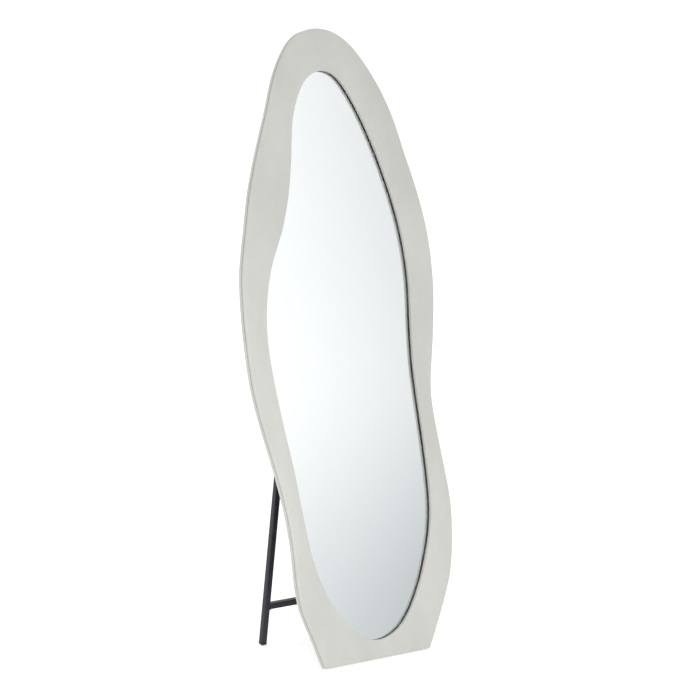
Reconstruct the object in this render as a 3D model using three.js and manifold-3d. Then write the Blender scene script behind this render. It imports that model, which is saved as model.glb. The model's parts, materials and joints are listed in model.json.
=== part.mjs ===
// Full-length floor mirror with a wavy, fabric-wrapped frame that leans back on a fold-out easel stand.
// The frame is two wrapped layers with a seam between them; the glass sits between the layers.
// Millimetres, +Z up. The mirror faces -Y and the stand opens towards +Y.

import * as THREE from 'three';
import { mergeVertices } from 'three/addons/utils/BufferGeometryUtils.js';
import Module from 'manifold-3d';

const wasm = await Module();
wasm.setup();

// ---------- driving dimensions ----------

const panelWidth = 604; // widest across the wavy outline
const panelHeight = 1601; // along the leaning face
const leanAngle = 10; // degrees the panel leans back when the stand is open
const legAngle = 9; // degrees between an open leg and the vertical

const frontLayer = 9.7; // wrapped front ring, face to seam
const rearLayer = 12; // wrapped rear ring, seam to back
const flannel = 0.8; // wrapping fabric
const padding = 2.2; // foam under the front fabric
const paddingSlope = 0.4; // the foam's edge leans in by this
const frontRound = 3.3; // soft front edges of the front ring
const seamRound = 2.2; // edges beside the seam
const backRound = 3; // back edge of the rear ring
const fabricTail = 17; // fabric turned over on to the flat of the rear ring
const underTail = 8; // fabric turned under the front ring at both its edges

const glassThick = 4;
const silverThick = 0.3;
const glassOverlap = 10; // glass hidden under the front ring
const spacerWide = 180;
const spacerTall = 25;
const spacerHeights = [330, 620, 960, 1180];

const backThick = 4; // backing board
const backInset = 10; // backing board edge, in from the outline
const screwCount = 12;
const screwInset = 24;
const screwShank = 1.6; // radius
const screwHead = 3.4; // radius
const screwHeadTall = 2;
const screwBite = 3; // length in the front board
const crownShare = 0.6; // flat part of a domed head, of its radius

const tube = 16; // square tube of the stand
const tubeWall = 1.2;
const tubeRound = 2;
const legSpacing = 294; // centre to centre
const hingeHeight = 785; // up the panel from its bottom edge
const crossbarUp = 107; // from the sole, along the leg

const plateThick = 2; // hinge bracket steel
const plateLong = 60;
const earLong = 28;
const earRound = 8;
const legStandOff = 3.5; // bracket plate to the folded leg
const boltShank = 2; // radius
const boltHead = 3.8; // radius
const boltHeadTall = 2.4;
const boltSpacing = 44;
const nutAcross = 7;
const nutTall = 3.2;
const pinRadius = 2.5;
const pinHead = 4.3; // radius
const pinHeadTall = 1.6;

const capHead = 8; // foot cap below the tube
const capTaper = 3.6;
const capPlug = 12;
const topHead = 2; // top plug outside the tube
const topPlug = 5;

// ---------- fits ----------

const seat = 0.3; // between pieces that touch
const pocketGap = 1; // round the glass
const screwGap = 0.3; // round a screw shank, radial
const pinGap = 0.1; // running fit of the hinge pin, radial
const earGap = 0.75; // leg to bracket ear
const stopGap = 0.3; // open leg's top corner to the bracket plate

// ---------- facets ----------

const spanSteps = 2; // straight steps between two outline points
const roundSteps = 2; // steps round a rolled or rounded corner
const earSteps = 4; // steps round a bracket ear's corner
const screwSides = 8;
const boltSides = 12;
const pinSides = 16;
const past = 1; // how far a cutting tool runs past what it cuts

// ---------- outlines ----------

// Points are drawn for a panel of this size: x from the middle of the stand, height up the face.
const drawnWidth = 604;
const drawnHeight = 1601;

const outerPoints = [
  [-163, 0], [-190, 82], [-214, 152], [-221, 215], [-221, 300], [-229, 400], [-248, 505],
  [-272, 610], [-289, 705], [-295, 810], [-294, 910], [-286, 1000], [-262, 1100], [-236, 1200],
  [-200, 1300], [-159, 1400], [-128, 1480], [-93, 1540], [-50, 1584], [14, 1601], [72, 1589],
  [120, 1556], [165, 1500], [202, 1438], [232, 1366], [256, 1280], [279, 1200], [300, 1105],
  [309, 1000], [304, 900], [285, 780], [266, 685], [262, 630], [272, 520], [284, 420],
  [288, 355], [281, 270], [262, 182], [225, 100], [170, 0],
];

const openingPoints = [
  [20, 47], [-40, 60], [-88, 104], [-134, 175], [-165, 262], [-180, 355], [-195, 490],
  [-216, 628], [-232, 770], [-233, 850], [-222, 930], [-196, 1014], [-155, 1097], [-123, 1190],
  [-104, 1280], [-88, 1370], [-64, 1430], [-30, 1475], [16, 1493], [58, 1480], [98, 1430],
  [143, 1339], [185, 1220], [216, 1095], [228, 960], [220, 840], [214, 725], [219, 590],
  [224, 430], [217, 330], [185, 225], [135, 128], [82, 70],
];

function outlineCurve(points, closed) {
  const scaled = points.map(([x, up]) => new THREE.Vector3(
    x * panelWidth / drawnWidth, up * panelHeight / drawnHeight, 0));
  return new THREE.CatmullRomCurve3(scaled, closed, 'centripetal');
}

const outerCurve = outlineCurve(outerPoints, false);
const openingCurve = outlineCurve(openingPoints, true);

// Both curves run clockwise seen from the front, so the inside is on the right of the tangent.
function insetPoint(curve, t, inset) {
  const point = curve.getPoint(t);
  const tangent = curve.getTangent(t);
  return new THREE.Vector2(point.x + tangent.y * inset, point.y - tangent.x * inset);
}

// The outer outline, moved in by inset. Its ends are carried along their tangents to the flat base.
function outerContour(inset) {
  const steps = spanSteps * (outerPoints.length - 1);
  const points = [];
  for (let i = 0; i <= steps; i += 1) {
    points.push(insetPoint(outerCurve, i / steps, inset));
  }
  for (const [end, next] of [[0, 1], [steps, steps - 1]]) {
    const away = points[next].clone().sub(points[end]);
    points[end].addScaledVector(away, (inset - points[end].y) / away.y);
  }
  return points;
}

// The opening's outline, moved out into the ring by grow.
function openingContour(grow) {
  const steps = spanSteps * openingPoints.length;
  const points = [];
  for (let i = 0; i < steps; i += 1) {
    points.push(insetPoint(openingCurve, i / steps, -grow));
  }
  return points;
}

// ---------- solids ----------

// Panel pieces use x, depth behind the front face as y, and height up the face as z.
function toSolid(geometry) {
  const bare = geometry.clone();
  bare.deleteAttribute('normal');
  bare.deleteAttribute('uv');
  const merged = mergeVertices(bare, 1e-4);
  return new wasm.Manifold(new wasm.Mesh({
    numProp: 3,
    vertProperties: new Float32Array(merged.attributes.position.array),
    triVerts: new Uint32Array(merged.index.array),
  }));
}

function toGeometry(solid) {
  const mesh = solid.getMesh();
  const geometry = new THREE.BufferGeometry();
  geometry.setAttribute('position', new THREE.BufferAttribute(mesh.vertProperties, 3));
  geometry.setIndex(new THREE.BufferAttribute(mesh.triVerts, 1));
  geometry.computeVertexNormals();
  return geometry;
}

function cut(geometry, tools) {
  let solid = toSolid(geometry);
  for (const tool of tools) {
    solid = solid.subtract(toSolid(tool));
  }
  return toGeometry(solid);
}

function join(geometries) {
  return toGeometry(geometries.map(toSolid).reduce((sum, next) => sum.add(next)));
}

// A flat plate between two depths, from contours seen from the front. Contours run clockwise, and a
// shape needs its outline the other way round from its hole.
function slab(contour, front, thick, hole) {
  const shape = new THREE.Shape([...contour].reverse());
  if (hole) {
    shape.holes.push(new THREE.Path(hole));
  }
  const geometry = new THREE.ExtrudeGeometry(shape, { depth: thick, bevelEnabled: false });
  geometry.rotateX(Math.PI / 2);
  geometry.translate(0, front + thick, 0);
  return geometry;
}

// A closed skin: rings of points at depths, with strips between rings of one outline, and flat
// faces between an outer ring and an opening ring.
class Skin {
  constructor() {
    this.positions = [];
    this.faces = [];
  }

  ring(contour, depth) {
    const first = this.positions.length;
    for (const { x, y } of contour) {
      this.positions.push([x, depth, y]);
    }
    return { first, contour };
  }

  // Faces from each ring to the next. Rings in order turn the skin's outside to the left of travel.
  strip(rings) {
    for (let k = 0; k + 1 < rings.length; k += 1) {
      const count = rings[k].contour.length;
      const a = rings[k].first;
      const b = rings[k + 1].first;
      for (let i = 0; i < count; i += 1) {
        const j = (i + 1) % count;
        this.faces.push([a + i, b + i, a + j], [a + j, b + i, b + j]);
      }
    }
  }

  flat(outer, opening, facesBack) {
    const rim = THREE.ShapeUtils.triangulateShape(outer.contour, [opening.contour]);
    const count = outer.contour.length;
    const index = (i) => (i < count ? outer.first + i : opening.first + i - count);
    for (const [a, b, c] of rim) {
      const [p, q, r] = [a, b, c].map((i) => this.positions[index(i)]);
      const turn = (q[0] - p[0]) * (r[2] - p[2]) - (r[0] - p[0]) * (q[2] - p[2]);
      const looksFront = turn > 0;
      const order = looksFront === facesBack ? [a, c, b] : [a, b, c];
      this.faces.push(order.map(index));
    }
  }

  geometry() {
    const geometry = new THREE.BufferGeometry();
    geometry.setAttribute('position', new THREE.Float32BufferAttribute(this.positions.flat(), 3));
    geometry.setIndex(this.faces.flat());
    geometry.computeVertexNormals();
    return geometry;
  }
}

// A rounded corner as [inset, depth] points, from angle to angle about its centre.
function corner(inset, depth, radius, from, to) {
  const points = [];
  for (let i = 0; i <= roundSteps; i += 1) {
    const angle = THREE.MathUtils.degToRad(from + (to - from) * i / roundSteps);
    points.push([inset - radius * Math.cos(angle), depth - radius * Math.sin(angle)]);
  }
  return points;
}

function cylinder(radius, length, sides) {
  return new THREE.CylinderGeometry(radius, radius, length, sides);
}

// A turned piece on the depth axis: profile of [radius, depth], from the front to the back.
function turned(profile, sides) {
  const points = profile.map(([radius, depth]) => new THREE.Vector2(radius, depth));
  return new THREE.LatheGeometry(points, sides);
}

function roundedSquare(size, radius) {
  const half = size / 2;
  const points = [];
  for (let side = 0; side < 4; side += 1) {
    for (let i = 0; i <= roundSteps; i += 1) {
      const angle = Math.PI / 2 * (side + i / roundSteps);
      const turn = Math.PI / 2 * (side + 0.5);
      points.push(new THREE.Vector2(
        Math.sign(Math.cos(turn)) * (half - radius) + radius * Math.cos(angle),
        Math.sign(Math.sin(turn)) * (half - radius) + radius * Math.sin(angle)));
    }
  }
  return points;
}

function square(size) {
  const half = size / 2;
  return [[half, half], [-half, half], [-half, -half], [half, -half]].map(
    ([x, y]) => new THREE.Vector2(x, y));
}

// ---------- materials ----------

const materials = {
  flannel: new THREE.MeshStandardMaterial({ color: 0xcfd0c8, roughness: 0.95, metalness: 0 }),
  foam: new THREE.MeshStandardMaterial({ color: 0xe8e4d8, roughness: 1, metalness: 0 }),
  board: new THREE.MeshStandardMaterial({ color: 0xa98762, roughness: 0.85, metalness: 0 }),
  backing: new THREE.MeshStandardMaterial({ color: 0x2c2c2e, roughness: 0.8, metalness: 0 }),
  glass: new THREE.MeshStandardMaterial({ color: 0xdfe8e6, roughness: 0.03, metalness: 0 }),
  silver: new THREE.MeshStandardMaterial({ color: 0xf2f4f4, roughness: 0.02, metalness: 1 }),
  steel: new THREE.MeshStandardMaterial({ color: 0x2f2f33, roughness: 0.5, metalness: 0.3 }),
  zinc: new THREE.MeshStandardMaterial({ color: 0xb9bcc0, roughness: 0.35, metalness: 0.9 }),
  plastic: new THREE.MeshStandardMaterial({ color: 0x18181a, roughness: 0.6, metalness: 0 }),
};

function piece(parent, name, geometry, material) {
  const mesh = new THREE.Mesh(geometry, materials[material]);
  mesh.name = name;
  parent.add(mesh);
  return mesh;
}

// ---------- depths through the panel ----------

const skinAndSeat = flannel + seat;
const boardFront = skinAndSeat + padding + seat;
const boardBack = frontLayer - skinAndSeat;
const rearFront = frontLayer + seat;
const rearBack = rearFront + rearLayer;
const glassBack = rearFront + glassThick;
const silverBack = glassBack + seat + silverThick;
const backFront = rearBack + seat;
const backFace = backFront + backThick;
const plateFront = backFace + seat;
const plateFace = plateFront + plateThick;
const pinDepth = plateFace + legStandOff + tube / 2;

// ---------- front ring ----------

function frontCover() {
  const skin = new Skin();
  const inner = frontRound - flannel;
  const outside = [
    [underTail, frontLayer],
    ...corner(seamRound, frontLayer - seamRound, seamRound, -90, 0),
    ...corner(frontRound, frontRound, frontRound, 0, 90),
  ];
  const inside = [
    ...corner(frontRound, frontRound, inner, 90, 0),
    [flannel, frontLayer - seamRound],
    [seamRound, frontLayer - flannel],
    [underTail, frontLayer - flannel],
  ];
  const place = (contour) => ([inset, depth]) => skin.ring(contour(inset), depth);
  const outerOut = outside.map(place(outerContour));
  const outerIn = inside.map(place(outerContour));
  const openOut = outside.map(place(openingContour));
  const openIn = inside.map(place(openingContour));
  skin.strip(outerOut);
  skin.flat(outerOut.at(-1), openOut.at(-1), false);
  skin.strip([...openOut].reverse());
  skin.strip([openOut[0], openIn.at(-1)]);
  skin.strip([...openIn].reverse());
  skin.flat(outerIn[0], openIn[0], true);
  skin.strip(outerIn);
  skin.strip([outerIn.at(-1), outerOut[0]]);
  return skin.geometry();
}

function frontPadding() {
  const skin = new Skin();
  const section = [
    [skinAndSeat + paddingSlope, boardFront - seat],
    [frontRound, skinAndSeat],
  ];
  const outer = section.map(([inset, depth]) => skin.ring(outerContour(inset), depth));
  const open = section.map(([inset, depth]) => skin.ring(openingContour(inset), depth));
  skin.strip(outer);
  skin.flat(outer.at(-1), open.at(-1), false);
  skin.strip([...open].reverse());
  skin.flat(outer[0], open[0], true);
  return skin.geometry();
}

// ---------- rear ring ----------

function rearCover() {
  const skin = new Skin();
  const outside = [
    [fabricTail, rearFront],
    ...corner(seamRound, rearFront + seamRound, seamRound, 90, 0),
    ...corner(backRound, rearBack - backRound, backRound, 0, -90),
    [fabricTail, rearBack],
  ];
  const inside = [
    [fabricTail, rearBack - flannel],
    ...corner(backRound, rearBack - backRound, backRound - flannel, -90, 0),
    [flannel, rearFront + seamRound],
    [seamRound, rearFront + flannel],
    [fabricTail, rearFront + flannel],
  ];
  const rings = [...outside, ...inside].map(([inset, depth]) => skin.ring(outerContour(inset), depth));
  skin.strip([...rings, rings[0]].reverse());
  return skin.geometry();
}

// ---------- fasteners and their places ----------

const screwPlaces = [];
for (let i = 0; i < screwCount; i += 1) {
  const t = outerCurve.getUtoTmapping((i + 0.5) / screwCount);
  screwPlaces.push(insetPoint(outerCurve, t, screwInset));
}

const legSides = [['left', -1], ['right', 1]];
const boltPlaces = [];
for (const [side, sign] of legSides) {
  for (const [end, up] of [['upper', 0.5], ['lower', -0.5]]) {
    const x = sign * legSpacing / 2;
    boltPlaces.push({ name: `${side}_${end}`, x, up: hingeHeight + up * boltSpacing });
  }
}

const screwTip = boardBack - screwBite;

function drill(x, up, radius, from, to, sides) {
  const tool = cylinder(radius, to - from, sides);
  tool.translate(x, (from + to) / 2, up);
  return tool;
}

function screwDrills(from, to) {
  return screwPlaces.map(({ x, y }) => drill(
    x, y, screwShank + screwGap, from, to, screwSides));
}

function screwBody() {
  return turned([
    [0, screwTip],
    [screwShank, screwTip + screwShank],
    [screwShank, backFace + seat],
    [screwHead, backFace + seat],
    [screwHead, backFace + seat + screwHeadTall / 2],
    [screwHead * crownShare, backFace + seat + screwHeadTall],
    [0, backFace + seat + screwHeadTall],
  ], screwSides);
}

function boltBody() {
  return turned([
    [0, backFront - seat - nutTall],
    [boltShank, backFront - seat - nutTall],
    [boltShank, plateFace + seat],
    [boltHead, plateFace + seat],
    [boltHead, plateFace + seat + boltHeadTall / 2],
    [boltHead * crownShare, plateFace + seat + boltHeadTall],
    [0, plateFace + seat + boltHeadTall],
  ], boltSides);
}

function nutBody() {
  const nut = cylinder(nutAcross / 2 / Math.cos(Math.PI / 6), nutTall, 6);
  return cut(nut, [cylinder(boltShank + screwGap, nutTall + 2 * past, boltSides)]);
}

// ---------- hinge bracket ----------

// Built about the hinge pin: x along the pin, y behind the panel, z up the panel.
const earInside = tube / 2 + earGap;
const earOutside = earInside + plateThick;
const earBack = tube / 2;

function bracketBody() {
  const front = plateFront - pinDepth;
  const plate = new THREE.BoxGeometry(2 * earOutside, plateThick, plateLong);
  plate.translate(0, front + plateThick / 2, 0);
  const side = new THREE.Shape();
  side.moveTo(front, -earLong / 2);
  side.lineTo(earBack - earRound, -earLong / 2);
  side.absarc(earBack - earRound, -earLong / 2 + earRound, earRound, -Math.PI / 2, 0, false);
  side.absarc(earBack - earRound, earLong / 2 - earRound, earRound, 0, Math.PI / 2, false);
  side.lineTo(front, earLong / 2);
  const ears = [-earOutside, earInside].map((x) => {
    const ear = new THREE.ExtrudeGeometry(side, {
      depth: plateThick, bevelEnabled: false, curveSegments: earSteps,
    });
    ear.rotateX(Math.PI / 2);
    ear.rotateZ(Math.PI / 2);
    ear.translate(x, 0, 0);
    return ear;
  });
  const bore = cylinder(pinRadius + pinGap, 4 * earOutside, pinSides);
  bore.rotateZ(Math.PI / 2);
  const bolts = [-0.5, 0.5].map((up) => drill(
    0, up * boltSpacing, boltShank + screwGap, front - past, front + plateThick + past, boltSides));
  return cut(join([plate, ...ears]), [bore, ...bolts]);
}

function pinBody() {
  const grip = earOutside + seat;
  const profile = [
    [0, -grip - pinHeadTall],
    [pinHead * crownShare, -grip - pinHeadTall],
    [pinHead, -grip - pinHeadTall / 2],
    [pinHead, -grip],
    [pinRadius, -grip],
    [pinRadius, grip],
    [pinHead, grip],
    [pinHead, grip + pinHeadTall / 2],
    [pinHead * crownShare, grip + pinHeadTall],
    [0, grip + pinHeadTall],
  ];
  const pin = turned(profile, pinSides);
  pin.rotateZ(Math.PI / 2);
  return pin;
}

// ---------- stand ----------

const lean = THREE.MathUtils.degToRad(leanAngle);
const legLean = THREE.MathUtils.degToRad(legAngle);
const opened = lean + legLean;

// The rear ring's back edge is the lowest line of the leaning panel.
const rearSection = corner(backRound, rearBack - backRound, backRound, 0, -90);
const lift = Math.max(...rearSection.map(
  ([inset, depth]) => depth * Math.sin(lean) - inset * Math.cos(lean)));

const pinAt = new THREE.Vector3(
  0,
  hingeHeight * Math.sin(lean) + pinDepth * Math.cos(lean),
  lift + hingeHeight * Math.cos(lean) - pinDepth * Math.sin(lean));
const pinToFloor = pinAt.z / Math.cos(legLean);
const legBottom = -pinToFloor + capHead;

// The open leg's top front corner stops against the bracket plate.
const half = tube / 2;
const stopReach = legStandOff + half - stopGap;
const legTop = (stopReach - half * Math.cos(opened)) / Math.sin(opened);
const tubeTop = legTop - topHead;
const hollow = tube - 2 * tubeWall;
const plugSize = hollow - 2 * seat;

function tubeBody(length) {
  const shape = new THREE.Shape(roundedSquare(tube, tubeRound));
  shape.holes.push(new THREE.Path(square(hollow)));
  return new THREE.ExtrudeGeometry(shape, { depth: length, bevelEnabled: false });
}

function prism(contour, from, to) {
  const geometry = new THREE.ExtrudeGeometry(new THREE.Shape(contour), {
    depth: to - from, bevelEnabled: false,
  });
  geometry.translate(0, 0, from);
  return geometry;
}

function legBody() {
  const leg = tubeBody(tubeTop - legBottom);
  leg.translate(0, 0, legBottom);
  const bore = cylinder(pinRadius + pinGap, 2 * tube, pinSides);
  bore.rotateZ(Math.PI / 2);
  return cut(leg, [bore]);
}

function footCapBody() {
  const top = legBottom - seat;
  const spread = tube / Math.SQRT2;
  const taper = new THREE.CylinderGeometry(spread, spread - capTaper * Math.SQRT2, capTaper, 4);
  taper.rotateX(Math.PI / 2);
  taper.rotateZ(Math.PI / 4);
  taper.translate(0, 0, -pinToFloor + capTaper / 2);
  const head = prism(square(tube), -pinToFloor + capTaper, top);
  const plug = prism(square(plugSize), top - past, legBottom + capPlug);
  const floor = new THREE.BoxGeometry(4 * tube, 4 * tube, tube);
  floor.translate(0, 0, -tube / 2);
  floor.rotateX(-legLean);
  floor.translate(0, 0, -pinToFloor);
  return cut(join([taper, head, plug]), [floor]);
}

function topPlugBody() {
  const head = prism(roundedSquare(tube, tubeRound), tubeTop + seat, legTop);
  const plug = prism(square(plugSize), tubeTop - topPlug, tubeTop + topHead / 2);
  return join([head, plug]);
}

function crossbarBody() {
  const length = legSpacing - tube - 2 * seat;
  const bar = tubeBody(length);
  bar.translate(0, 0, -length / 2);
  bar.rotateY(Math.PI / 2);
  return bar;
}

// ---------- assembly ----------

const group = new THREE.Group();

const panel = new THREE.Group();
panel.rotation.x = -lean;
panel.position.z = lift;
group.add(panel);

piece(panel, 'front_cover', frontCover(), 'flannel');
piece(panel, 'front_padding', frontPadding(), 'foam');

const boardInset = seamRound + seat;
const frontBoard = slab(
  outerContour(boardInset), boardFront, boardBack - boardFront, openingContour(boardInset));
piece(panel, 'front_board', cut(frontBoard, screwDrills(screwTip - seat, rearFront)), 'board');

piece(panel, 'rear_cover', rearCover(), 'flannel');
const rearBoard = slab(
  outerContour(backRound), rearFront + skinAndSeat, rearLayer - 2 * skinAndSeat,
  openingContour(glassOverlap + pocketGap));
piece(panel, 'rear_board', cut(rearBoard, screwDrills(rearFront, rearBack)), 'board');

piece(panel, 'mirror_glass', slab(openingContour(glassOverlap), rearFront, glassThick), 'glass');
piece(panel, 'mirror_silvering',
  slab(openingContour(glassOverlap), glassBack + seat, silverThick), 'silver');

const spacerThick = rearBack - silverBack - 2 * seat;
spacerHeights.forEach((up, i) => {
  const spacer = new THREE.BoxGeometry(spacerWide, spacerThick, spacerTall);
  spacer.translate(0, silverBack + seat + spacerThick / 2, up);
  piece(panel, `glass_spacer_${i + 1}`, spacer, 'foam');
});

const boltDrills = boltPlaces.map(({ x, up }) => drill(
  x, up, boltShank + screwGap, rearBack, plateFront, boltSides));
piece(panel, 'back_panel', cut(
  slab(outerContour(backInset), backFront, backThick),
  [...screwDrills(rearBack, plateFront), ...boltDrills]), 'backing');

screwPlaces.forEach(({ x, y }, i) => {
  const screw = piece(panel, `frame_screw_${i + 1}`, screwBody(), 'zinc');
  screw.position.set(x, 0, y);
});

for (const { name, x, up } of boltPlaces) {
  piece(panel, `bracket_bolt_${name}`, boltBody(), 'zinc').position.set(x, 0, up);
  const nut = piece(panel, `bracket_nut_${name}`, nutBody(), 'zinc');
  nut.position.set(x, backFront - seat - nutTall / 2, up);
}

for (const [side, sign] of legSides) {
  const x = sign * legSpacing / 2;
  piece(panel, `hinge_bracket_${side}`, bracketBody(), 'steel').position.set(x, pinDepth, hingeHeight);
  piece(panel, `hinge_pin_${side}`, pinBody(), 'zinc').position.set(x, pinDepth, hingeHeight);
}

const stand = new THREE.Group();
stand.rotation.x = legLean;
stand.position.copy(pinAt);
group.add(stand);

for (const [side, sign] of legSides) {
  const x = sign * legSpacing / 2;
  piece(stand, `leg_${side}`, legBody(), 'steel').position.x = x;
  piece(stand, `foot_cap_${side}`, footCapBody(), 'plastic').position.x = x;
  piece(stand, `top_plug_${side}`, topPlugBody(), 'plastic').position.x = x;
}
piece(stand, 'crossbar', crossbarBody(), 'steel').position.z = -pinToFloor + crossbarUp;

// The origin is the middle of the footprint, on the floor.
group.updateMatrixWorld(true);
const box = new THREE.Box3().setFromObject(group, true);
const middle = box.getCenter(new THREE.Vector3());
group.position.set(-middle.x, -middle.y, -box.min.z);

export default group;
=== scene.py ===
# %% [markdown]
# # A wavy floor mirror on an easel stand
# The mirror is a tall egg of glass in a soft, wavy ring wrapped in flannel. It stands on its flat bottom
# edge and leans back on a folding stand of square steel tube. The sizes, places and joints come from a
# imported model, which stays as it is. This script makes the looks around it: cloth, board, steel, glass.

# %% The fixed frame
import json
import math

import bmesh
import bpy
from mathutils import Matrix, Vector
from mathutils.geometry import interpolate_bezier
from mathutils.kdtree import KDTree


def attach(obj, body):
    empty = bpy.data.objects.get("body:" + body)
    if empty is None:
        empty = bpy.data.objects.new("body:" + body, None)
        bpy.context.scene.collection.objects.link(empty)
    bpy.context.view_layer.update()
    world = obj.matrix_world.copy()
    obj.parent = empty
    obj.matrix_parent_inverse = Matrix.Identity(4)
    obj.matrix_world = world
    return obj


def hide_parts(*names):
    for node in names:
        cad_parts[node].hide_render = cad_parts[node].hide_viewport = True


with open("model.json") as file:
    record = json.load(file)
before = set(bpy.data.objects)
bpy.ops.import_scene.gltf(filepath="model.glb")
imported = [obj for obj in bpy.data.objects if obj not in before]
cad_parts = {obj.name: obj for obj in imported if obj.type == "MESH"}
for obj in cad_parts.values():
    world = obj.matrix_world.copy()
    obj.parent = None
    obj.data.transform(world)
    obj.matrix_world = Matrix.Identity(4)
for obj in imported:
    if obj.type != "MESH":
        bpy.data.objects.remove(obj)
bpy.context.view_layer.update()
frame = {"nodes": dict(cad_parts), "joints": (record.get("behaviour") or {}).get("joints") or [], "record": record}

nodes = frame["nodes"]

# %% [markdown]
# ## Camera
# The camera comes first, because every later choice is judged through it. It stands to the left of the
# mirror at eye height and looks slightly down. A long lens keeps the upright lines nearly parallel.

# %% Camera
CAMERA_PLACE = (-3.701, -4.881, 1.628)
CAMERA_TURN = -37.32  # degrees to the right of straight ahead
CAMERA_TILT = 7.95  # degrees down
LENS = 125.6  # mm on a sensor 36 mm wide
FARTHEST = 2000  # metres that the camera sees

camera = bpy.data.objects.new("camera", bpy.data.cameras.new("camera"))
camera.data.lens = LENS
camera.location = CAMERA_PLACE
camera.rotation_euler = (math.radians(90 - CAMERA_TILT), 0, math.radians(CAMERA_TURN))
camera.data.clip_end = FARTHEST
bpy.context.scene.collection.objects.link(camera)
bpy.context.scene.camera = camera
print("camera at", CAMERA_PLACE)

# %% [markdown]
# ## Axes of the panel and of the legs
# The panel leans, so its pieces are easier to make upright and flat, and lean back at the end. The mount
# on the bottom edge gives the direction down the panel. In the panel's own axes, x runs across, y is the
# depth behind the front face and z runs up the face. The legs lean the other way and have their own axes,
# found from the longest edge of a leg.

# %% Panel axes
MM = 0.001
JOIN = 0.01 * MM  # points closer than this are one point
ACROSS = Vector((1, 0, 0))


def axes(back, origin):
    """The matrix that takes points from axes whose y looks along back into the frame."""
    turn = Matrix((ACROSS, back, ACROSS.cross(back))).transposed()
    return Matrix.Translation(origin) @ turn.to_4x4()


def corners(node):
    return [vertex.co for vertex in nodes[node].data.vertices]


mounts = {mount["name"]: mount for mount in frame["record"]["mounts"]}
panel_up = -Vector(mounts["base_edge"]["axis"]).normalized()
panel_back = panel_up.cross(ACROSS)
face_depth = min(corner.dot(panel_back) for corner in corners("front_cover"))
foot_height = min(corner.dot(panel_up) for corner in corners("front_cover"))
PANEL = axes(panel_back, panel_back * face_depth + panel_up * foot_height)
print("panel leans back", round(math.degrees(math.asin(-panel_back.z)), 2), "degrees")


# %% Leg axes
def open_bmesh(node, matrix):
    """A bmesh copy of a node with its loose triangles joined, seen in other axes."""
    bm = bmesh.new()
    bm.from_mesh(nodes[node].data)
    bmesh.ops.transform(bm, matrix=matrix.inverted(), verts=bm.verts)
    bmesh.ops.remove_doubles(bm, verts=bm.verts, dist=JOIN)
    return bm


def extent(node, matrix):
    """The lowest and highest corners of a node in other axes."""
    places = [matrix.inverted() @ corner for corner in corners(node)]
    low = Vector([min(place[i] for place in places) for i in range(3)])
    high = Vector([max(place[i] for place in places) for i in range(3)])
    return low, high


bm = open_bmesh("leg_left", Matrix.Identity(4))
longest = max(bm.edges, key=lambda edge: edge.calc_length())
leg_up = (longest.verts[1].co - longest.verts[0].co).normalized()
leg_up *= math.copysign(1, leg_up.z)
bm.free()
LEG = axes(leg_up.cross(ACROSS), Vector(frame["joints"][0]["pos_m"]))
print("legs stand at", round(math.degrees(math.asin(-leg_up.y)), 2), "degrees")

# %% [markdown]
# ## Outlines
# The wavy outline and the opening are read off the fixed model. At one depth, the edges where two faces
# meet at an angle form closed loops. The model's loops are coarse, so a smooth curve is drawn through
# their corners, with each corner's tangent weighted by its two chords. The flat bottom edge is the
# longest edge of an outer loop, and it stays straight.

# %% Loops of a node
NEAR = 0.02 * MM


def loops_at(node, depth, least_bend=5):
    """The loops of bent edges of a panel node at one depth, longest first."""
    bm = open_bmesh(node, PANEL)
    flat = {}
    for edge in bm.edges:
        level = all(abs(vert.co.y - depth) < NEAR for vert in edge.verts)
        if level and edge.calc_face_angle() > math.radians(least_bend):
            flat[edge.index] = edge
    loops = []
    while flat:
        start, here = flat.popitem()[1].verts
        loop = [start]
        while here is not start:
            loop.append(here)
            onward = next(edge for edge in here.link_edges if edge.index in flat)
            del flat[onward.index]
            here = onward.other_vert(here)
        loops.append([vert.co.copy() for vert in loop])
    bm.free()
    return sorted(loops, key=loop_length, reverse=True)


def loop_length(loop):
    return sum((here - loop[i - 1]).length for i, here in enumerate(loop))


def facing_front(loop):
    """The loop in the order that runs anticlockwise when seen from the front."""
    area = sum(loop[i - 1].x * here.z - here.x * loop[i - 1].z for i, here in enumerate(loop))
    return loop if area > 0 else loop[::-1]


# %% Smooth curves through them
LOOP_POINTS = 560
BASE_POINTS = 56
FINE_STEPS = 16


def tangents(points, closed):
    """A tangent at each point, weighted by the two chords that meet there."""
    made = []
    last = len(points) - 1
    for i, here in enumerate(points):
        before = points[i - 1] if closed or i else None
        after = points[(i + 1) % len(points)] if closed or i < last else None
        chords = [(here - before) if before else None, (after - here) if after else None]
        chords = [chord or other for chord, other in zip(chords, chords[::-1])]
        slopes = [chord.normalized() for chord in chords]
        lengths = [chord.length for chord in chords]
        made.append((slopes[0] * lengths[1] + slopes[1] * lengths[0]).normalized())
    return made


def even_steps(points, count, closed):
    """Places count points at even distances along a smooth curve through the given ones."""
    slopes = tangents(points, closed)
    fine = []
    for i in range(len(points) if closed else len(points) - 1):
        j = (i + 1) % len(points)
        reach = (points[j] - points[i]).length / 3
        handles = points[i] + slopes[i] * reach, points[j] - slopes[j] * reach
        fine += interpolate_bezier(points[i], *handles, points[j], FINE_STEPS)[:-1]
    fine.append(points[0] if closed else points[-1])
    walked = [0]
    for i in range(1, len(fine)):
        walked.append(walked[-1] + (fine[i] - fine[i - 1]).length)
    made = []
    i = 1
    for step in range(count):
        goal = walked[-1] * step / (count if closed else count - 1)
        while walked[i] < goal and i < len(fine) - 1:
            i += 1
        share = (goal - walked[i - 1]) / (walked[i] - walked[i - 1])
        made.append(fine[i - 1].lerp(fine[i], min(share, 1)))
    return made


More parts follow.
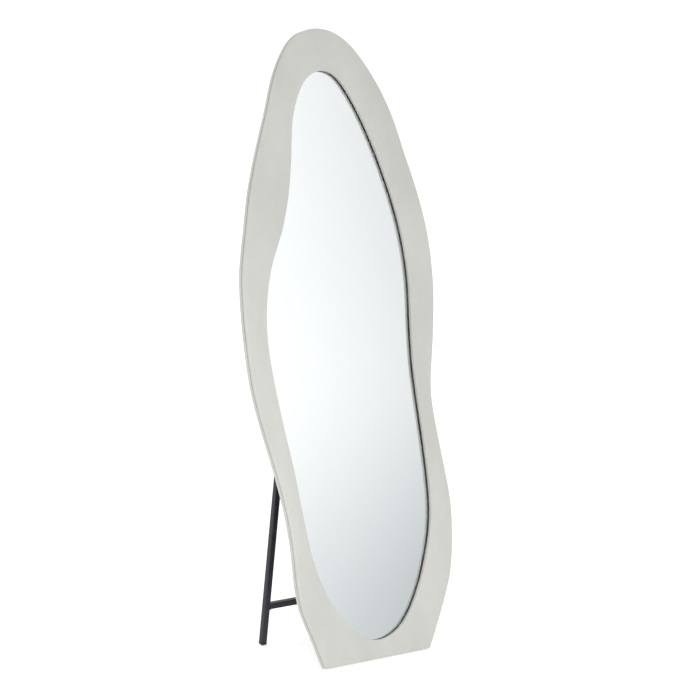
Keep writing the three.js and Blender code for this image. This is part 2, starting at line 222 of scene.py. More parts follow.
def outer_loop(corners_of_loop):
    """A smooth outer loop with its straight base kept, starting at the base's left end."""
    loop = facing_front(corners_of_loop)
    chords = [(here - loop[i - 1]).length for i, here in enumerate(loop)]
    after_base = chords.index(max(chords))
    loop = loop[after_base:] + loop[:after_base]
    wave = even_steps(loop, LOOP_POINTS - BASE_POINTS + 1, False)
    base = [wave[-1].lerp(wave[0], i / BASE_POINTS) for i in range(1, BASE_POINTS)]
    return wave + base


def inner_loop(corners_of_loop):
    return even_steps(facing_front(corners_of_loop), LOOP_POINTS, True)


def depths(node):
    low, high = extent(node, PANEL)
    return low.y, high.y


cover_front, cover_rear = depths("front_cover")
bm = open_bmesh("front_cover", PANEL)
widest = max(vert.co.x for vert in bm.verts)
side_depths = [vert.co.y for vert in bm.verts if vert.co.x > widest - NEAR]
edge_depth = min(side_depths)
FRONT_ROLL = edge_depth - cover_front
SEAM_ROLL = cover_rear - max(side_depths)
bm.free()
cover_loops = loops_at("front_cover", edge_depth)
outline = outer_loop(cover_loops[0])
opening = inner_loop(cover_loops[-1])
print("loops in the front cover:", [(len(loop), round(loop_length(loop), 3)) for loop in cover_loops])
print("outline", len(outline), "opening", len(opening))
print("rolls:", round(FRONT_ROLL / MM, 2), "mm in front,", round(SEAM_ROLL / MM, 2), "mm at the seam")

# %% [markdown]
# ## Shader maths as Python
# Procedural finishes are sums and products of noise. A small class wraps a socket, so that such sums
# are written as plain expressions, and each operator adds one Math node. Another class holds a node tree
# and makes every other node by one method: its type, its settings, then its sockets.


# %% Sockets that calculate
def find_socket(sockets, key):
    """A socket by its number, identifier or name."""
    if isinstance(key, int):
        return sockets[key]
    return next(socket for socket in sockets if key in (socket.identifier, socket.name))


class Signal:
    """A node's output that Python arithmetic can use."""

    def __init__(self, tree, socket):
        self.tree = tree
        self.socket = socket

    def math(self, operation, first, second):
        return self.tree.add("ShaderNodeMath", {"operation": operation}, {0: first, 1: second})["Value"]

    def __add__(self, other):
        return self.math("ADD", self, other)

    def __rsub__(self, other):
        return self.math("SUBTRACT", other, self)

    def __mul__(self, other):
        return self.math("MULTIPLY", self, other)

    __radd__ = __add__


class Made:
    """A node that has just been added. Its outputs are read by name."""

    def __init__(self, tree, node):
        self.tree = tree
        self.node = node

    def __getitem__(self, name):
        return Signal(self.tree, find_socket(self.node.outputs, name))


class Tree:
    """A node tree that nodes are added to."""

    def __init__(self, tree):
        self.tree = tree

    def add(self, kind, settings=None, sockets=None):
        node = self.tree.nodes.new(kind)
        for name, value in (settings or {}).items():
            setattr(node, name, value)
        for key, value in (sockets or {}).items():
            self.feed(node, key, value)
        return Made(self, node)

    def feed(self, node, key, value):
        socket = find_socket(node.inputs, key)
        if isinstance(value, Signal):
            self.tree.links.new(value.socket, socket)
        else:
            socket.default_value = value

    def mix(self, share, first, second):
        """A colour between two colours."""
        sockets = {"Factor_Float": share, "A_Color": first, "B_Color": second}
        return self.add("ShaderNodeMix", {"data_type": "RGBA"}, sockets)["Result_Color"]

    def spread(self, value, low, high):
        """Stretches the part of a value between low and high over 0 to 1, with soft ends."""
        sockets = {"Value": value, "From Min": low, "From Max": high}
        return self.add("ShaderNodeMapRange", {"interpolation_type": "SMOOTHSTEP"}, sockets)["Result"]


class Finish(Tree):
    """A material with one Principled shader."""

    def __init__(self, name, constants):
        self.material = bpy.data.materials.new(name)
        self.material.use_nodes = True
        super().__init__(self.material.node_tree)
        self.shader = self.tree.nodes["Principled BSDF"]
        self.place = self.add("ShaderNodeTexCoord")["Object"]
        for key, value in constants.items():
            self.set(key, value)

    def set(self, key, value):
        self.feed(self.shader, key, value)

    def noise(self, scale, detail=2, stretch=(1, 1, 1)):
        """Noise with so many grains to the metre, stretched along the axes."""
        place = self.add("ShaderNodeMapping", {}, {"Vector": self.place, "Scale": stretch})["Vector"]
        sockets = {"Vector": place, "Scale": scale, "Detail": detail}
        return self.add("ShaderNodeTexNoise", {}, sockets)["Fac"]

    def bump(self, height, rise, strength=1):
        """Feeds Normal with a surface that rises by so many metres where height is 1."""
        sockets = {"Height": height, "Distance": rise, "Strength": strength}
        self.set("Normal", self.add("ShaderNodeBump", {}, sockets)["Normal"])


def seen(red, green, blue):
    """A colour given as it looks on a screen, from 0 to 1, as the linear one that shaders take."""
    return tuple(((part + 0.055) / 1.055) ** 2.4 for part in (red, green, blue)) + (1,)


print("a mid grey is", [round(part, 3) for part in seen(0.5, 0.5, 0.5)])

# %% [markdown]
# ## Cloth finish
# Flannel is a woven cloth whose surface is brushed into a short, dense nap. From a distance it is matt
# and slightly cloudy, where the nap lies different ways. Close up it is a fine fuzz. So the colour mixes
# two near tones by a large, slow noise stretched along the brushing, and a very fine noise makes the
# fuzz, both as bump and as a small change in tone. A sheen catches light along turned-away edges.

# %% Flannel
flannel = Finish("brushed_flannel", {"Sheen Weight": 0.25, "Sheen Roughness": 0.5})
clouds = flannel.spread(flannel.noise(7, 3, (1, 1, 0.35)), 0.3, 0.7)
patches = flannel.spread(flannel.noise(55, 4, (1, 1, 0.6)), 0.25, 0.75)
fuzz = flannel.noise(1500, 3)
nap = clouds * 0.5 + patches * 0.22 + fuzz * 0.28
flannel.set("Base Color", flannel.mix(nap, seen(0.642, 0.641, 0.622), seen(0.695, 0.694, 0.675)))
flannel.set("Roughness", 0.86 + patches * 0.1)
flannel.bump(fuzz * 0.75 + patches * 0.25, 0.35 * MM, 0.6)
print("flannel nodes:", len(flannel.tree.nodes))

# %% [markdown]
# ## Hard finishes
# The stand is steel with a charcoal powder coat, which dries with a faint orange peel. Its caps are
# moulded plastic with a finer grain. Screws and pins are zinc plated, which gives a bright, slightly
# patchy metal. The backing is painted hardboard, and boards and foam inside show only at their edges.

# %% Powder coat, plastic and zinc
powder = Finish("powder_coat", {"Specular IOR Level": 0.3})
peel = powder.noise(900, 2)
dust = powder.spread(powder.noise(60, 5), 0.35, 0.75)
powder.set("Base Color", powder.mix(dust, seen(0.12, 0.118, 0.145), seen(0.165, 0.162, 0.19)))
powder.set("Roughness", 0.38 + dust * 0.14)
powder.bump(peel, 0.06 * MM, 0.7)

plastic = Finish("moulded_plastic", {"Specular IOR Level": 0.35})
grain = plastic.noise(2400, 3)
plastic.set("Base Color", plastic.mix(grain, seen(0.1, 0.1, 0.11), seen(0.14, 0.14, 0.15)))
plastic.set("Roughness", 0.45 + grain * 0.2)
plastic.bump(grain, 0.03 * MM, 0.6)

zinc = Finish("zinc_plate", {"Metallic": 1})
plating = zinc.spread(zinc.noise(350, 4), 0.3, 0.7)
zinc.set("Base Color", zinc.mix(plating, seen(0.78, 0.79, 0.8), seen(0.88, 0.87, 0.83)))
zinc.set("Roughness", 0.2 + plating * 0.18)
zinc.bump(zinc.noise(1800, 2), 0.01 * MM, 0.5)

# %% Boards and foam
hardboard = Finish("painted_hardboard", {"IOR": 1.45})
fibres = hardboard.noise(420, 5, (1, 1, 0.3))
smears = hardboard.spread(hardboard.noise(9, 3), 0.3, 0.7)
mottle = fibres * 0.6 + smears * 0.4
hardboard.set("Base Color", hardboard.mix(mottle, seen(0.15, 0.15, 0.16), seen(0.22, 0.22, 0.23)))
hardboard.set("Roughness", 0.6 + fibres * 0.25)
hardboard.bump(fibres, 0.12 * MM, 0.6)

fibreboard = Finish("fibreboard", {"Roughness": 0.85})
chips = fibreboard.noise(700, 4)
fibreboard.set("Base Color", fibreboard.mix(chips, seen(0.66, 0.54, 0.4), seen(0.78, 0.67, 0.52)))
fibreboard.bump(chips, 0.1 * MM)

foam = Finish("cut_foam", {"Roughness": 0.95})
cells = foam.add("ShaderNodeTexVoronoi", {}, {"Vector": foam.place, "Scale": 900})["Distance"]
foam.set("Base Color", foam.mix(cells, seen(0.8, 0.78, 0.72), seen(0.95, 0.93, 0.88)))
foam.bump(cells, 0.3 * MM)

# %% [markdown]
# ## Glass and silvering
# A mirror is a clear pane with a metal coat behind it. The pane's thickness matters: beside the ring it
# shows a dark line between the ring's inner wall and the wall's reflection. So the pane is real glass in
# front of a real metal sheet, and neither is faked with one shiny face.

# %% Glass and silvering
glass = Finish("float_glass", {"Roughness": 0, "Transmission Weight": 1, "IOR": 1.52})
ripple = glass.noise(3, 1)
glass.set("Base Color", glass.mix(ripple, seen(0.994, 0.998, 0.998), seen(0.996, 1, 1)))

silver = Finish("silvering", {"Metallic": 1, "Roughness": 0})
coat = silver.noise(4, 2)
silver.set("Base Color", silver.mix(coat, seen(0.955, 0.957, 0.96), seen(0.962, 0.964, 0.967)))
print("glass and silver nodes:", len(glass.tree.nodes), len(silver.tree.nodes))

# %% [markdown]
# ## Finished pieces
# Each new piece is made in the panel's or the legs' axes, then moved into the frame, so that its object
# stays at the origin. Faces are shaded smooth, and an edge stays sharp where it bends enough.

# %% From bmesh to object
SHARP = math.radians(40)


def finish_piece(name, bm, matrix, finish, body, stands_for=()):
    """Makes an object of a bmesh, places it, shades it and ties it to its body."""
    bmesh.ops.transform(bm, matrix=matrix, verts=bm.verts)
    for face in bm.faces:
        face.smooth = True
    for edge in bm.edges:
        edge.smooth = edge.calc_face_angle(0) < SHARP
    mesh = bpy.data.meshes.new(name)
    bm.to_mesh(mesh)
    bm.free()
    mesh.materials.append(finish.material)
    made = bpy.data.objects.new(name, mesh)
    bpy.context.scene.collection.objects.link(made)
    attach(made, body)
    if stands_for:
        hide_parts(*stands_for)
    return made


def add_loop(bm, points, depth):
    """Adds a closed loop of edges at one depth."""
    verts = [bm.verts.new((point.x, depth, point.z)) for point in points]
    return [bm.edges.new((verts[i - 1], vert)) for i, vert in enumerate(verts)]


def pull(bm, edges, depth):
    """Extrudes a loop of edges straight to another depth and returns the new loop."""
    made = bmesh.ops.extrude_edge_only(bm, edges=edges)["geom"]
    for vert in made:
        if isinstance(vert, bmesh.types.BMVert):
            vert.co.y = depth
    new_edges = [item for item in made if isinstance(item, bmesh.types.BMEdge)]
    return [edge for edge in new_edges if all(abs(v.co.y - depth) < NEAR for v in edge.verts)]


def numbered(loop):
    """A search tree of a loop's points, all put at depth 0, that gives a point's number."""
    numbers = KDTree(len(loop))
    for i, point in enumerate(loop):
        numbers.insert((point.x, 0, point.z), i)
    numbers.balance()
    return numbers


def turn_in(bm, edges, loop, target):
    """Extrudes a loop of edges on to a target loop, each point to the one with its own number."""
    numbers = numbered(loop)
    made = bmesh.ops.extrude_edge_only(bm, edges=edges)["geom"]
    for vert in (item for item in made if isinstance(item, bmesh.types.BMVert)):
        number = numbers.find((vert.co.x, 0, vert.co.z))[1]
        vert.co.x, vert.co.z = target[number].x, target[number].z


def round_off(bm, edges, radius, segments):
    """Rounds edges to a radius and merges the tiny edges that this can leave at a corner."""
    bmesh.ops.bevel(
        bm, geom=edges, offset=radius, offset_type="OFFSET", affect="EDGES",
        segments=segments, profile=0.5, material=-1, clamp_overlap=True)
    bmesh.ops.remove_doubles(bm, verts=bm.verts, dist=NEAR)


# %% [markdown]
# ## Front cover
# On the real mirror a sheet of flannel is drawn over thin foam on a flat ring, round its outer edge and
# into the opening. It could be one flat ring with rounded edges, but cloth over foam swells a little
# between its edges, most where the ring is widest. So the flat ring is bridged between the outline and
# the opening, its edges are rolled with a bevel, and a short cloth simulation with pressure blows the
# flat part out. The shape is kept and its height is scaled to what thin foam gives.

# %% Front ring
CLOTH_THICK = 0.8 * MM
ROLL_SEGMENTS = 6
SEAM_SEGMENTS = 4
RING_CUTS = 9
TUCK = 8 * MM
SEAM_OPEN = 1.1 * MM
OPENING_ROLL = 1.4 * MM
OPENING_TURN = 0.6 * MM

bm = bmesh.new()
outer_edges = add_loop(bm, outline, cover_front)
inner_edges = add_loop(bm, opening, cover_front)
bmesh.ops.bridge_loops(bm, edges=outer_edges + inner_edges)
print("front ring:", len(bm.faces), "faces")


# %% Edges and faces by where they lie
def lies_at(item, depth):
    return all(abs(vert.co.y - depth) < NEAR for vert in item.verts)


def corner_edges(bm, depth):
    """The edges at one depth where two faces meet at a clear angle."""
    return [edge for edge in bm.edges if lies_at(edge, depth) and edge.calc_face_angle(0) > SHARP]


def on_loop(edges, loop):
    """The edges whose two ends are points of a loop, at any depth."""
    numbers = numbered(loop)
    return [
        edge for edge in edges
        if all(numbers.find((vert.co.x, 0, vert.co.z))[2] < NEAR for vert in edge.verts)
    ]


def inward(loop, distance):
    """A loop moved in across its own line; it runs anticlockwise seen from the front."""
    moved = []
    for i, here in enumerate(loop):
        along = loop[(i + 1) % len(loop)] - loop[i - 1]
        side = Vector((-along.z, 0, along.x)).normalized()
        moved.append(here + side * distance)
    return moved


# %% Its edges are rolled, and it is tucked under at the seam and at the opening
front_seam = cover_rear - SEAM_OPEN
turn_in(bm, pull(bm, outer_edges, front_seam), outline, inward(outline, TUCK))
turn_in(bm, pull(bm, inner_edges, front_seam), opening, inward(opening, -TUCK))
round_off(bm, on_loop(corner_edges(bm, cover_front), outline), FRONT_ROLL, ROLL_SEGMENTS)
round_off(bm, on_loop(corner_edges(bm, cover_front), opening), OPENING_ROLL, ROLL_SEGMENTS)
round_off(bm, on_loop(corner_edges(bm, front_seam), outline), SEAM_ROLL, SEAM_SEGMENTS)
round_off(bm, on_loop(corner_edges(bm, front_seam), opening), OPENING_TURN, SEAM_SEGMENTS)
flat_faces = {face.index for face in bm.faces if lies_at(face, cover_front)}
bm.edges.index_update()
rungs = [
    edge for edge in bm.edges
    if len(edge.link_faces) == 2 and all(face.index in flat_faces for face in edge.link_faces)
]
bmesh.ops.subdivide_edges(bm, edges=rungs, cuts=RING_CUTS, use_grid_fill=True)
bmesh.ops.recalc_face_normals(bm, faces=bm.faces)
print("front cover:", len(rungs), "rungs,", len(bm.faces), "faces")

# %% [markdown]
# The flat part is let loose and everything else is pinned. Pressure from behind stands for the foam. A
# sheet held at its edges swells most where it is widest, so a proof of the shape is all that is needed
# from the simulation: the result is scaled so that its highest point stands proud by SWELL.

# %% The flat part swells
SWELL = 1.6 * MM
CLOTH_FRAMES = 24


def simulated(mesh, pinned):
    """The places of a mesh's points after a short cloth simulation with pressure from behind."""
    trial = bpy.data.objects.new("trial_cloth", mesh.copy())
    bpy.context.scene.collection.objects.link(trial)
    pins = trial.vertex_groups.new(name="pins")
    pins.add(pinned, 1, "REPLACE")
    cloth = trial.modifiers.new("cloth", "CLOTH")
    cloth.settings.vertex_group_mass = "pins"
    cloth.settings.quality = 6
    cloth.settings.mass = 0.1
    cloth.settings.tension_stiffness = 40
    cloth.settings.compression_stiffness = 40
    cloth.settings.bending_stiffness = 2
    cloth.settings.use_pressure = True
    cloth.settings.uniform_pressure_force = 3
    cloth.settings.effector_weights.gravity = 0
    cloth.point_cache.frame_end = CLOTH_FRAMES
    for step in range(1, CLOTH_FRAMES + 1):
        bpy.context.scene.frame_set(step)
        shaped = trial.evaluated_get(bpy.context.evaluated_depsgraph_get())
    places = [vertex.co.copy() for vertex in shaped.data.vertices]
    bpy.context.scene.frame_set(1)
    bpy.data.objects.remove(trial)
    return places


bm.verts.index_update()
loose = [
    vert.index for vert in bm.verts
    if abs(vert.co.y - cover_front) < NEAR and all(lies_at(face, cover_front) for face in vert.link_faces)
]
flat_cover = bpy.data.meshes.new("flat_cover")
bm.to_mesh(flat_cover)
held = set(range(len(bm.verts))) - set(loose)
places = simulated(flat_cover, sorted(held))
bm.verts.ensure_lookup_table()
rises = {index: cover_front - places[index].y for index in loose}
share = SWELL / max(rises.values())
for index, rise in rises.items():
    bm.verts[index].co.y -= rise * share
print("cloth rose", round(max(rises.values()) / MM, 2), "mm, scaled by", round(share, 3))
bpy.data.meshes.remove(flat_cover)


def give_thickness(made, thickness):
    """Gives a one-sided skin its thickness, inwards from the side that shows."""
    wall = made.modifiers.new("thickness", "SOLIDIFY")
    wall.thickness = thickness
    wall.offset = -1
    return made


front_cover = finish_piece("front_flannel", bm, PANEL, flannel, "panel", ["front_cover"])
give_thickness(front_cover, CLOTH_THICK)
print("front cover:", len(front_cover.data.polygons), "faces")

# %% [markdown]
# ## Rear cover
# The rear ring is wrapped the same way, but over bare board, so it is flat and tight. Its flannel shows
# as the band behind the seam and as a strip on the back, where it is turned over and stapled under the
# backing. The band is the outline pulled back, with both its corners rolled. The two rings stand a
# little apart at the seam, which makes its dark line.

# %% Rear band
BACK_ROLL = 3 * MM
BACK_SEGMENTS = 5
rear_front, rear_back = depths("rear_cover")
rear_seam = rear_front + SEAM_OPEN
tail_end = outer_loop(loops_at("rear_cover", rear_back)[1])

bm = bmesh.new()
band_front = add_loop(bm, outline, rear_seam)
band_back = pull(bm, band_front, rear_back)
turn_in(bm, band_front, outline, inward(outline, TUCK))
turn_in(bm, band_back, outline, tail_end)
round_off(bm, corner_edges(bm, rear_seam), SEAM_ROLL, SEAM_SEGMENTS)
round_off(bm, corner_edges(bm, rear_back), BACK_ROLL, BACK_SEGMENTS)
bmesh.ops.recalc_face_normals(bm, faces=bm.faces)
rear_cover = finish_piece("rear_flannel", bm, PANEL, flannel, "panel", ["rear_cover"])
give_thickness(rear_cover, CLOTH_THICK)
print("rear cover:", len(rear_cover.data.polygons), "faces")

# %% [markdown]
# ## Backing board
# A thin painted hardboard closes the back. It is cut to the wave a little inside the edge, drilled for
# the screws and the bracket bolts, and its sawn edge is eased. The holes come from the fixed model: every
# loop but the longest is a hole, and each is drawn again as a rounder circle.

# %% Board with its holes
HOLE_SIDES = 24
EASED = 0.6 * MM
EASED_SEGMENTS = 2
panel_front, panel_rear = depths("back_panel")
board_loops = loops_at("back_panel", panel_rear)

bm = bmesh.new()
rim = add_loop(bm, outer_loop(board_loops[0]), panel_rear)
for hole in board_loops[1:]:
    middle = sum(hole, Vector()) / len(hole)
    radius = max((point - middle).length for point in hole)
    spot = Matrix.Translation((middle.x, panel_rear, middle.z)) @ Matrix.Rotation(math.pi / 2, 4, "X")
    bmesh.ops.create_circle(bm, segments=HOLE_SIDES, radius=radius, matrix=spot)
bmesh.ops.triangle_fill(bm, edges=bm.edges, use_beauty=True, normal=(0, 1, 0))
walls = bmesh.ops.extrude_face_region(bm, geom=bm.faces[:])["geom"]
for vert in (item for item in walls if isinstance(item, bmesh.types.BMVert)):
    vert.co.y = panel_front
bmesh.ops.recalc_face_normals(bm, faces=bm.faces)
round_off(bm, corner_edges(bm, panel_rear), EASED, EASED_SEGMENTS)
backing = finish_piece("backing_board", bm, PANEL, hardboard, "panel", ["back_panel"])
print("holes:", len(board_loops) - 1, "faces:", len(backing.data.polygons))

# %% [markdown]
# ## Screws and bolts
# The frame screws and the bracket bolts have pan heads with a cross recess. The recess starts as a small
# grid whose middle row and column are pushed in. The head is the grid's border bridged to a circle and
# pulled down over a few rings, and the shank follows below it.

# %% A pan head screw
RECESS_GRID = 5
LEVEL = 0.0001 * MM


def ring_edges(made):
    return [item for item in made if isinstance(item, bmesh.types.BMEdge)]


def swell_ring(bm, edges, radius, height):
    """Extrudes a ring of edges to another radius and height about the z axis; returns the new ring."""
    made = bmesh.ops.extrude_edge_only(bm, edges=edges)["geom"]
    for vert in (item for item in made if isinstance(item, bmesh.types.BMVert)):
        flat = Vector((vert.co.x, vert.co.y, 0)).normalized() * radius
        vert.co = Vector((flat.x, flat.y, height))
    return [edge for edge in ring_edges(made) if all(abs(v.co.z - height) < LEVEL for v in edge.verts)]


def pan_head_screw(head, tall, shank, length):
    """A screw about the z axis, with its head above 0 and its shank below."""
    bm = bmesh.new()
    recess = 0.5 * head
    bmesh.ops.create_grid(bm, x_segments=RECESS_GRID, y_segments=RECESS_GRID, size=recess)
    arm = recess / RECESS_GRID
    cross = [
        face for face in bm.faces
        if min(abs(face.calc_center_median().x), abs(face.calc_center_median().y)) < arm
    ]
    bmesh.ops.translate(bm, verts=bm.verts, vec=(0, 0, tall))
    border = [edge for edge in bm.edges if edge.is_boundary]
    turned = Matrix.Rotation(math.pi / 4, 4, "Z")
    top = bmesh.ops.create_circle(
        bm, segments=len(border), radius=0.72 * head, matrix=Matrix.Translation((0, 0, tall)) @ turned)
    top_ring = list({edge for vert in top["verts"] for edge in vert.link_edges})
    bmesh.ops.bridge_loops(bm, edges=border + top_ring)
    pushed = bmesh.ops.extrude_face_region(bm, geom=cross)["geom"]
    floor_verts = [item for item in pushed if isinstance(item, bmesh.types.BMVert)]
    bmesh.ops.translate(bm, verts=floor_verts, vec=(0, 0, -0.7 * tall))
    bmesh.ops.scale(bm, verts=floor_verts, vec=(0.7, 0.7, 1))
    bmesh.ops.delete(bm, geom=cross, context="FACES_ONLY")
    ring = [edge for edge in bm.edges if edge.is_boundary and edge.verts[0].co.length > 0.7 * head]
    for radius, height in ((0.9, 0.82), (0.98, 0.5), (1, 0.2), (0.97, 0)):
        ring = swell_ring(bm, ring, radius * head, height * tall)
    for radius, height in ((shank, 0), (shank, shank - length), (0.1 * shank, -length)):
        ring = swell_ring(bm, ring, radius, height)
    bmesh.ops.contextual_create(bm, geom=ring)
    bmesh.ops.recalc_face_normals(bm, faces=bm.faces)
    return bm


# %% Screws and bolts where the model has them
SCREW_SHANK = 1.6 * MM  # radius
SCREW_HEAD = 2 * MM  # height
BOLT_SHANK = 2 * MM
BOLT_HEAD = 2.4 * MM
OUTWARD = Matrix.Rotation(-math.pi / 2, 4, "X")


def place_screws(prefix, shank, head_tall):
    made = []
    for name in sorted(node for node in nodes if node.startswith(prefix)):
        low, high = extent(name, PANEL)
        head = (high.x - low.x) / 2
        bm = pan_head_screw(head, head_tall, shank, high.y - low.y - head_tall)
        seat = ((low.x + high.x) / 2, high.y - head_tall, (low.z + high.z) / 2)
        bmesh.ops.transform(bm, matrix=Matrix.Translation(seat) @ OUTWARD, verts=bm.verts)
        made.append(finish_piece("zinc_" + name, bm, PANEL, zinc, "panel", [name]))
    return made


screws = place_screws("frame_screw_", SCREW_SHANK, SCREW_HEAD)
bolts = place_screws("bracket_bolt_", BOLT_SHANK, BOLT_HEAD)
print("screws:", len(screws), "bolts:", len(bolts), "faces each:", len(screws[0].data.polygons))

# %% [markdown]
# ## Hinge pins
# Each leg swings on a plain steel pin whose two ends are riveted into low domes. A pin is a body of
# revolution, so half its outline is spun once round its axis and the ends are merged.

# %% Pins
PIN_RADIUS = 2.5 * MM
PIN_STEPS = 32
DOME_TALL = 1.6 * MM
DOME_STEPS = 6


def pin_profile(length, radius, head, head_tall):
    """Half the outline of a pin along x, from the tip of one dome to the tip of the other."""
    quarter = [math.pi / 2 * i / DOME_STEPS for i in range(DOME_STEPS + 1)]
    dome = [(length / 2 - head_tall * (1 - math.cos(angle)), head * math.sin(angle)) for angle in quarter]
    right = dome + [(length / 2 - head_tall, radius)]
    left = [(-along, out) for along, out in reversed(right)]
    return right + left


for side in ("left", "right"):
    low, high = extent("hinge_pin_" + side, PANEL)
    middle = (low + high) / 2
    profile = pin_profile(high.x - low.x, PIN_RADIUS, (high.z - low.z) / 2, DOME_TALL)
    bm = bmesh.new()
    verts = [bm.verts.new((along, 0, out)) for along, out in profile]
    edges = [bm.edges.new(pair) for pair in zip(verts, verts[1:])]
    bmesh.ops.spin(
        bm, geom=verts + edges, cent=(0, 0, 0), axis=(1, 0, 0), angle=2 * math.pi,
        steps=PIN_STEPS, use_merge=True)
    bmesh.ops.remove_doubles(bm, verts=bm.verts, dist=JOIN)
    bmesh.ops.recalc_face_normals(bm, faces=bm.faces)
    bmesh.ops.translate(bm, verts=bm.verts, vec=middle)
    pin = finish_piece("riveted_pin_" + side, bm, PANEL, zinc, "panel", ["hinge_pin_" + side])
print("pin faces:", len(pin.data.polygons))

# %% [markdown]
# ## Weld beads
# The crossbar is welded between the legs, and the coat runs over the welds. A bead starts as a thin round
# ring about the crossbar's axis. Each of its points is then moved out to the crossbar's square section,
# and the bead swells and thins a little on its way round, as a hand-laid weld does.

# %% A bead at each end of the crossbar
BEAD = 1.3 * MM
BEAD_SIDES = 8
BEAD_STEPS = 144
BEAD_RIPPLES = 36
BEAD_WAVE = 0.14
BEAD_INSET = 0.4 * BEAD

bar_low, bar_high = extent("crossbar", LEG)
bar_middle = (bar_low + bar_high) / 2
bar_half = (bar_high.z - bar_low.z) / 2
for side, end, into in (("left", bar_low.x, 1), ("right", bar_high.x, -1)):
    bm = bmesh.new()
    made = bmesh.ops.create_circle(
        bm, segments=BEAD_SIDES, radius=BEAD, matrix=Matrix.Translation((0, bar_half, 0)))["verts"]
    rim = list({edge for vert in made for edge in vert.link_edges})
    bmesh.ops.spin(
        bm, geom=made + rim, cent=(0, 0, 0), axis=(1, 0, 0), angle=2 * math.pi,
        steps=BEAD_STEPS, use_merge=True)
    bmesh.ops.remove_doubles(bm, verts=bm.verts, dist=JOIN)
    for vert in bm.verts:
        angle = math.atan2(vert.co.z, vert.co.y)
        swell = 1 + BEAD_WAVE * math.sin(angle * BEAD_RIPPLES)
        off_centre = math.hypot(vert.co.y, vert.co.z) - bar_half
        out = bar_half / max(abs(math.cos(angle)), abs(math.sin(angle))) + off_centre * swell
        vert.co = Vector((vert.co.x * swell, out * math.cos(angle), out * math.sin(angle)))
    bmesh.ops.recalc_face_normals(bm, faces=bm.faces)
    bmesh.ops.translate(bm, verts=bm.verts, vec=(end + into * BEAD_INSET, bar_middle.y, bar_middle.z))
    bead = finish_piece("weld_bead_" + side, bm, LEG, powder, "stand")
print("crossbar:", [round(size / MM, 2) for size in bar_high - bar_low], "mm")
print("weld bead:", len(bead.data.polygons), "faces")

# %% [markdown]
# ## Pieces kept from the fixed model
# Legs, crossbar, brackets, caps and plugs already have their true shape. They keep it and get their
# finishes. Their loose triangles are joined by a Weld modifier, and a narrow Bevel gives every edge the
# small round that a real pressed, cut or moulded edge has, which is what catches the light.

# %% Finishes and eased edges
KEPT = {
    "leg_left": (powder, 0.5), "leg_right": (powder, 0.5), "crossbar": (powder, 0.5),
    "hinge_bracket_left": (powder, 0.4), "hinge_bracket_right": (powder, 0.4),
    "foot_cap_left": (plastic, 1.8), "foot_cap_right": (plastic, 1.8),
    "top_plug_left": (plastic, 0.4), "top_plug_right": (plastic, 0.4),
    "mirror_glass": (glass, 0), "mirror_silvering": (silver, 0),
    "front_padding": (foam, 0), "front_board": (fibreboard, 0), "rear_board": (fibreboard, 0),
}
EASED_BEND = math.radians(30)
for name in nodes:
    if name.startswith("glass_spacer"):
        KEPT[name] = (foam, 0)
    if name.startswith("bracket_nut"):
        KEPT[name] = (zinc, 0.2)

for name, (finish, eased) in KEPT.items():
    kept = nodes[name]
    kept.data.materials.clear()
    kept.data.materials.append(finish.material)
    if eased:
        weld = kept.modifiers.new("weld", "WELD")
        weld.merge_threshold = JOIN
        bevel = kept.modifiers.new("eased_edges", "BEVEL")
        bevel.width = eased * MM
        bevel.segments = 3
        bevel.limit_method = "ANGLE"
        bevel.angle_limit = EASED_BEND
print("kept nodes:", len(KEPT))

# %% [markdown]
# ## Floor and light
# The floor is a wide, pale, plain sheet. It glows a little, as a lit sweep of paper
# does, so the shadows on it stay faint. The light is a bright room: a nearly white world, a large soft
# lamp high on the left, so that faces turned up and to the left are lighter, and a small low one that
# lifts the bottom of the panel. In front of the mirror, to the right, the room is greyer low down and
# further to the right, and the glass shows that as a soft grade.

# %% Floor
FLOOR_SIZE = 1200
FLOOR_GLOW = 0.5
FLOOR_DROP = 0.1 * MM

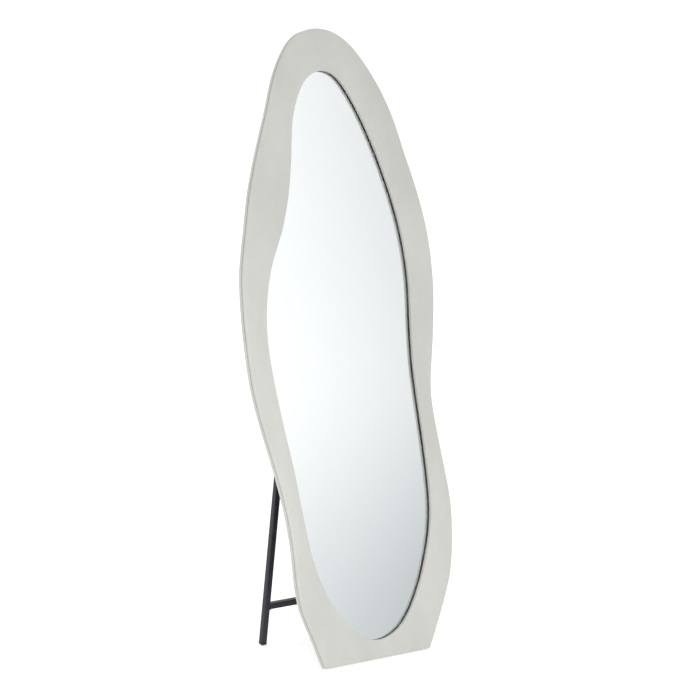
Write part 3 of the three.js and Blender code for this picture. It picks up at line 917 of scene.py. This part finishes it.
bm = bmesh.new()
bmesh.ops.create_grid(bm, x_segments=1, y_segments=1, size=FLOOR_SIZE / 2)
bmesh.ops.translate(bm, verts=bm.verts, vec=(0, 0, -FLOOR_DROP))
floor_mesh = bpy.data.meshes.new("floor")
bm.to_mesh(floor_mesh)
bm.free()
paper = Finish("pale_floor", {"Roughness": 0.9, "Emission Strength": FLOOR_GLOW})
shading = paper.noise(0.8, 3)
paper.set("Base Color", paper.mix(shading, seen(0.8, 0.8, 0.8), seen(0.81, 0.81, 0.81)))
paper.set("Emission Color", paper.mix(shading, (0.98, 0.98, 0.98, 1), (1, 1, 1, 1)))
floor_mesh.materials.append(paper.material)
floor = bpy.data.objects.new("floor", floor_mesh)
bpy.context.scene.collection.objects.link(floor)

# %% World
WORLD_STRENGTH = 1.19
GREY_SIDE = Vector((0.6, -0.8, 0))
FURTHER_RIGHT = Vector((0.8, 0.6, 0))
UPWARD = Vector((0, 0, 1))
LOW_GREY = 0.38
RIGHT_GREY = 0.36
GREY_TINT = (0, 0.06, 0.08, 1)

world = bpy.data.worlds.new("studio")
world.use_nodes = True
bpy.context.scene.world = world
sky = Tree(world.node_tree)
direction = sky.add("ShaderNodeTexCoord")["Generated"]


def towards(heading):
    """How far the direction looks along a heading, from -1 to 1."""
    return sky.add("ShaderNodeVectorMath", {"operation": "DOT_PRODUCT"}, {0: direction, 1: heading})["Value"]


low_down = 1 - sky.spread(towards(UPWARD), 0, 0.14)
rightwards = sky.spread(towards(FURTHER_RIGHT), -0.05, 0.09)
in_front = sky.spread(towards(GREY_SIDE), 0.5, 0.9)
greyness = (low_down * LOW_GREY + rightwards * RIGHT_GREY) * in_front
background = world.node_tree.nodes["Background"]
sky.feed(background, "Color", sky.mix(greyness, (1, 1, 1, 1), GREY_TINT))
sky.feed(background, "Strength", WORLD_STRENGTH)


# %% Lamps
def soft_lamp(name, place, aim, size, watts):
    lamp = bpy.data.objects.new(name, bpy.data.lights.new(name, "AREA"))
    lamp.data.size = size
    lamp.data.energy = watts
    lamp.location = place
    lamp.rotation_euler = (Vector(aim) - Vector(place)).to_track_quat("-Z", "Y").to_euler()
    lamp.visible_camera = False
    bpy.context.scene.collection.objects.link(lamp)
    print(name, watts, "W")


soft_lamp("high_left", place=(-3.2, -1.4, 3.6), aim=(0, 0, 0.7), size=2.4, watts=13)
soft_lamp("low_front", place=(-1.1, -1.9, 0.45), aim=(0, -0.1, 0.2), size=0.9, watts=20)
bpy.context.scene.view_settings.view_transform = "Standard"
